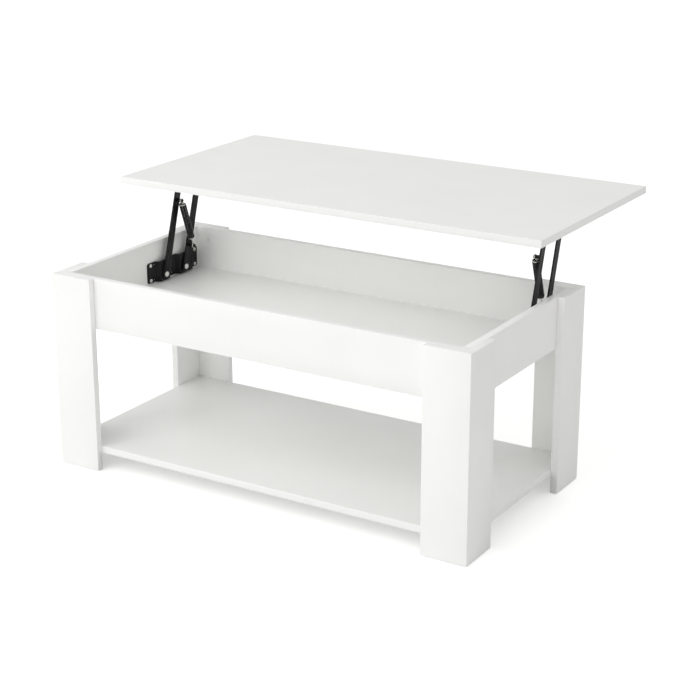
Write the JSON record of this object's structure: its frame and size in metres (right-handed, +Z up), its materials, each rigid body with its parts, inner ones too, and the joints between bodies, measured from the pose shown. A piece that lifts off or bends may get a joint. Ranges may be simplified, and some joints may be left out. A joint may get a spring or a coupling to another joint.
{
  "type": "lift top coffee table",
  "caption": "White coffee table with L-shaped legs, a lower shelf, and a top that lifts level towards the sitter on spring-assisted steel arms.",
  "frame": {"origin": "centre of the leg footprint, on the floor", "axes": "+X along the table's length, +Y towards the sitter, where the top lifts to, +Z up"},
  "size_m": [0.98, 0.746, 0.562],
  "materials": {
    "white_board": "satin white melamine foil on particle board",
    "white_edge_band": "satin white edge band",
    "black_steel": "semi-gloss black powder coat on pressed steel",
    "bright_steel": "nickel-plated steel",
    "spring_steel": "black oxide spring wire",
    "zinc_fittings": "cast zinc, as cast",
    "beech_dowel": "fluted beech",
    "white_plastic": "moulded polyethylene",
    "bumper_rubber": "translucent urethane"
  },
  "bodies": {
    "carcass": {"back_left_leg_face_board": "white_board", "back_left_leg_side_board": "white_board", "back_panel": "white_board", "back_right_leg_face_board": "white_board", "back_right_leg_side_board": "white_board", "cam_bolts": "zinc_fittings", "cam_housings": "zinc_fittings", "compartment_bottom": "white_board", "dowels": "beech_dowel", "front_left_leg_face_board": "white_board", "front_left_leg_side_board": "white_board", "front_panel": "white_board", "front_right_leg_face_board": "white_board", "front_right_leg_side_board": "white_board", "left_base_plate": "black_steel", "left_base_plate_screws": "bright_steel", "left_base_rivets": "bright_steel", "left_base_washers": "white_plastic", "left_end_panel": "white_board", "left_stop_stud": "black_steel", "leg_glides": "white_plastic", "leg_screws": "zinc_fittings", "lower_shelf": "white_board", "right_base_plate": "black_steel", "right_base_plate_screws": "bright_steel", "right_base_rivets": "bright_steel", "right_base_washers": "white_plastic", "right_end_panel": "white_board", "right_stop_stud": "black_steel", "screw_caps": "white_plastic"},
    "table_top": {"table_top": "white_board", "top_edge_bands": "white_edge_band", "top_bumpers": "bumper_rubber", "left_top_bracket": "black_steel", "left_top_bracket_screws": "bright_steel", "left_top_rivets": "bright_steel", "left_top_washers": "white_plastic", "right_top_bracket": "black_steel", "right_top_bracket_screws": "bright_steel", "right_top_rivets": "bright_steel", "right_top_washers": "white_plastic"},
    "left_front_arm": {"left_front_arm": "black_steel", "left_front_arm_spring_stud": "black_steel"},
    "left_rear_arm": {"left_rear_arm": "black_steel", "left_rear_arm_spring_stud": "black_steel"},
    "left_lift_spring": {"left_lift_spring": "spring_steel"},
    "left_lift_spring_tail": {"left_lift_spring_tail": "spring_steel"},
    "right_front_arm": {"right_front_arm": "black_steel", "right_front_arm_spring_stud": "black_steel"},
    "right_rear_arm": {"right_rear_arm": "black_steel", "right_rear_arm_spring_stud": "black_steel"},
    "right_lift_spring": {"right_lift_spring": "spring_steel"},
    "right_lift_spring_tail": {"right_lift_spring_tail": "spring_steel"}
  },
  "joints": [
    {"name": "lift", "type": "hinge", "parent": "carcass", "child": "left_front_arm", "pos_m": [-0.435, 0.079, 0.3375], "axis": [1, 0, 0], "range_deg": [0, 88.11]},
    {"name": "top_level", "type": "hinge", "parent": "left_front_arm", "child": "table_top", "pos_m": [-0.435, 0.13751, 0.53502], "axis": [1, 0, 0], "range_deg": [-88.61, 0.5]},
    {"name": "left_rear_arm_swing", "type": "hinge", "parent": "carcass", "child": "left_rear_arm", "pos_m": [-0.435, 0.1495, 0.3375], "axis": [1, 0, 0], "range_deg": [-0.5, 88.61]},
    {"name": "right_front_arm_swing", "type": "hinge", "parent": "carcass", "child": "right_front_arm", "pos_m": [0.435, 0.079, 0.3375], "axis": [1, 0, 0], "range_deg": [-0.5, 88.61]},
    {"name": "right_rear_arm_swing", "type": "hinge", "parent": "carcass", "child": "right_rear_arm", "pos_m": [0.435, 0.1495, 0.3375], "axis": [1, 0, 0], "range_deg": [-0.5, 88.61]},
    {"name": "left_spring_turn", "type": "hinge", "parent": "left_front_arm", "child": "left_lift_spring", "pos_m": [-0.422, 0.12501, 0.49283], "axis": [1, 0, 0], "range_deg": [-29.22, 0.5], "deforming": ["left_lift_spring", "left_lift_spring_tail"]},
    {"name": "left_spring_stretch", "type": "slide", "parent": "left_lift_spring", "child": "left_lift_spring_tail", "axis": [0, 0.3293, -0.9442], "range_m": [-0.0005, 0.067], "deforming": ["left_lift_spring", "left_lift_spring_tail"]},
    {"name": "right_spring_turn", "type": "hinge", "parent": "right_front_arm", "child": "right_lift_spring", "pos_m": [0.422, 0.12501, 0.49283], "axis": [1, 0, 0], "range_deg": [-29.22, 0.5], "deforming": ["right_lift_spring", "right_lift_spring_tail"]},
    {"name": "right_spring_stretch", "type": "slide", "parent": "right_lift_spring", "child": "right_lift_spring_tail", "axis": [0, 0.3293, -0.9442], "range_m": [-0.0005, 0.067], "deforming": ["right_lift_spring", "right_lift_spring_tail"]}
  ],
  "couplings": [
    {"joint": "top_level", "follows": "lift", "ratio": -1},
    {"joint": "left_rear_arm_swing", "follows": "lift", "ratio": 1},
    {"joint": "right_front_arm_swing", "follows": "lift", "ratio": 1},
    {"joint": "right_rear_arm_swing", "follows": "lift", "ratio": 1},
    {"joint": "left_spring_turn", "follows": "lift", "ratio": -0.32593},
    {"joint": "left_spring_stretch", "follows": "lift", "m_per_rad": 0.043244},
    {"joint": "right_spring_turn", "follows": "lift", "ratio": -0.32593},
    {"joint": "right_spring_stretch", "follows": "lift", "m_per_rad": 0.043244}
  ]
}
